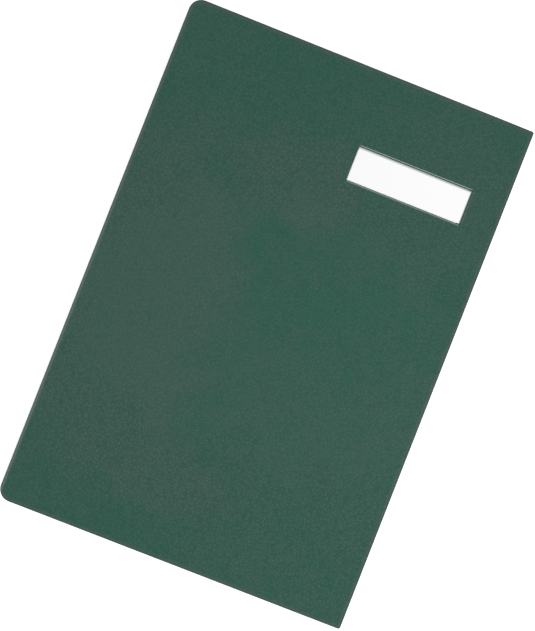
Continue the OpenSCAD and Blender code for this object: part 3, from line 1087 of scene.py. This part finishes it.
def cloth_joint(cover, node, upside_down):
    """The flange on the cover's inside, then a thick fold that reaches the end of the spine."""
    low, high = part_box(node)
    fold = spine_low.z - cover_top
    outer, inner = -half_width + JOINT_EDGE, spine_high.x - JOINT_EDGE
    bend = [cover_top + fold * k / BEND_ROWS for k in range(BEND_ROWS + 1)]
    outline = [(high.x, skin_top), (high.x, cover_top), (inner + JOINT_CHAMFER, cover_top)]
    outline += [(inner, z) for z in bend]
    outline += [(outer, z) for z in reversed(bend)]
    outline += [(outer, skin_top)]
    start, end = cover_top, spine_low.z
    if upside_down:
        outline = [(x, album_top - z) for x, z in outline]
        start, end = album_top - start, album_top - end
    piece = profile_strip(f"{cover}_joint", outline, spine_high.y, book_cloth)
    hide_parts(node)
    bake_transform(piece)


cloth_joint("back_cover", "back_cloth_joint", upside_down=False)
cloth_joint("front_cover", "front_cloth_joint", upside_down=True)

# %% [markdown]
# ## Linen hinges of the leaves
# Each leaf hangs on a strip of linen that comes out between two guards, creases at their front edge, and
# then parts into two plies that are glued over the card's edge. The plies could be two sheets, but they
# would cut into each other at the crease. So the strip is one mesh again: it follows the spine up to the
# crease and the leaf from there on, and eases up over the card's edge.

# %% Build the linen hinges
CREASE = 0.25 * MM
CREASE_SHARES = (-1.4, -1.0, -0.5, 0.0, 0.5, 1.0)
RAMP = 1.2 * MM
RAMP_SHARES = (0.0, 0.25, 0.5, 0.75, 1.0)
LAP_TAPER = 0.3 * MM
LAP_END_SHARE = 0.3


def eased(share):
    return share * share * (3 - 2 * share)


def linen_hinge(number):
    node = f"leaf_{number}_linen"
    low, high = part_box(node)
    card_low, card_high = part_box(f"leaf_{number}_card")
    middle = (card_low.z + card_high.z) / 2
    half_card = (card_high.z - card_low.z) / 2
    ply = (high.z - low.z) / 2 - half_card
    joint_x = joint_at[f"leaf_{number}_hinge"].x
    upper = [(joint_x + CREASE * s, ply) for s in (*CREASE_SHARES, 2.0)]
    upper += [(card_low.x - RAMP * (1 - s), ply + half_card * eased(s)) for s in RAMP_SHARES]
    upper += [(high.x - LAP_TAPER, half_card + ply), (high.x, half_card + ply * LAP_END_SHARE)]
    upper += [(high.x, half_card), (card_low.x, half_card)]
    outline = upper + [(x, -z) for x, z in reversed(upper)]
    piece = profile_strip(f"leaf_{number}_hinge", [(x, middle + z) for x, z in outline], high.y, leaf_linen)
    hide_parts(node)
    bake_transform(piece)


for number in range(1, leaf_count + 1):
    linen_hinge(number)

# %% [markdown]
# ## Flyleaves and interleaves
# These are single sheets, held between the guards like the linen. Paper of this size never lies quite
# flat: it cockles in long soft waves. A plain slab would look like plastic, and a simulation could push a
# sheet into its neighbour. So each sheet is a grid that rises and falls by a tenth of a millimetre on two
# sine waves, less near its hinge, and starts at the guards.

# %% Build the thin sheets
COCKLE = 0.10 * MM
WAVES_ACROSS = 9.0
WAVES_ALONG = 7.0
SHEET_COLUMNS = 24
SHEET_ROWS = 36
GLASSINE_THICKNESS = 0.06 * MM
FLYLEAF_THICKNESS = 0.16 * MM


def thin_sheet(name, finish, thickness, phase):
    """A sheet that stands for the CAD node that has its name."""
    low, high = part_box(name)
    hinge = joint_at[f"{name}_hinge"].x
    xs = [hinge + CREASE * s for s in CREASE_SHARES]
    first = xs[-1]
    xs += [first + (high.x - first) * k / SHEET_COLUMNS for k in range(1, SHEET_COLUMNS + 1)]
    ys = [low.y + (high.y - low.y) * k / SHEET_ROWS for k in range(SHEET_ROWS + 1)]
    middle = (low.z + high.z) / 2

    def lift(x, y):
        share = min(max((x - hinge) / (high.x - hinge), 0.0), 1.0)
        across = math.sin(WAVES_ACROSS * x / half_width + phase)
        along = math.sin(WAVES_ALONG * y / half_height + 2.3 * phase)
        return COCKLE * 0.5 * (across + along) * share * share

    bm = bmesh.new()
    grids = [[[bm.verts.new((x, y, middle + lift(x, y) + up)) for y in ys] for x in xs]
             for up in (thickness / 2, -thickness / 2)]
    for grid in grids:
        fill_grid(bm, grid)
    join_loops(bm, *(rim_of(grid, range(len(xs)), range(len(ys))) for grid in grids))
    piece = add_mesh(f"{name}_sheet", bm, finish)
    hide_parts(name)
    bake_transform(piece)


for number in range(1, leaf_count):
    thin_sheet(f"interleaf_{number}", glassine, GLASSINE_THICKNESS, phase=1.7 * number)
for name in ("front_flyleaf", "back_flyleaf"):
    thin_sheet(name, endpaper, FLYLEAF_THICKNESS, phase=0.6)
print("interleaves:", leaf_count - 1, "| flyleaves: 2")

# %% [markdown]
# ## Finishes on the other solids
# The boards, cards, guards, pockets and label have their true shape already. They could be built again in
# Blender, but that would only repeat the CAD model, so they take a finish. A small bevel on the label, the
# spine and the endpapers catches the light as a cut edge does.

# %% Dress the solids
def dress(name, finish):
    mesh = nodes[name].data
    mesh.materials.clear()
    mesh.materials.append(finish)


def soften(name, width_mm, segments=2):
    bevel = nodes[name].modifiers.new("soft_edge", "BEVEL")
    bevel.width = width_mm * MM
    bevel.segments = segments
    bevel.limit_method = "ANGLE"


finishes = {
    "front_board": recess_shaded_board, "back_board": grey_board, "spine_card": grey_board,
    "front_infill": infill_card, "back_infill": infill_card, "guards": guard_card,
    "front_pastedown": endpaper, "back_pastedown": endpaper,
    "spine_leatherette": spine_finish, "spine_lining": leaf_linen, "linen_tabs": leaf_linen,
    "sheet_tabs": endpaper, "title_label": label_card,
}
for number in range(1, leaf_count + 1):
    finishes[f"leaf_{number}_card"] = white_card
    finishes[f"leaf_{number}_front_strips"] = pocket_film
    finishes[f"leaf_{number}_back_strips"] = pocket_film
for name, finish in finishes.items():
    dress(name, finish)
soften("spine_leatherette", 0.35, segments=3)
soften("title_label", 0.12)
soften("front_pastedown", 0.1)
soften("back_pastedown", 0.1)
print("solids dressed:", len(finishes))
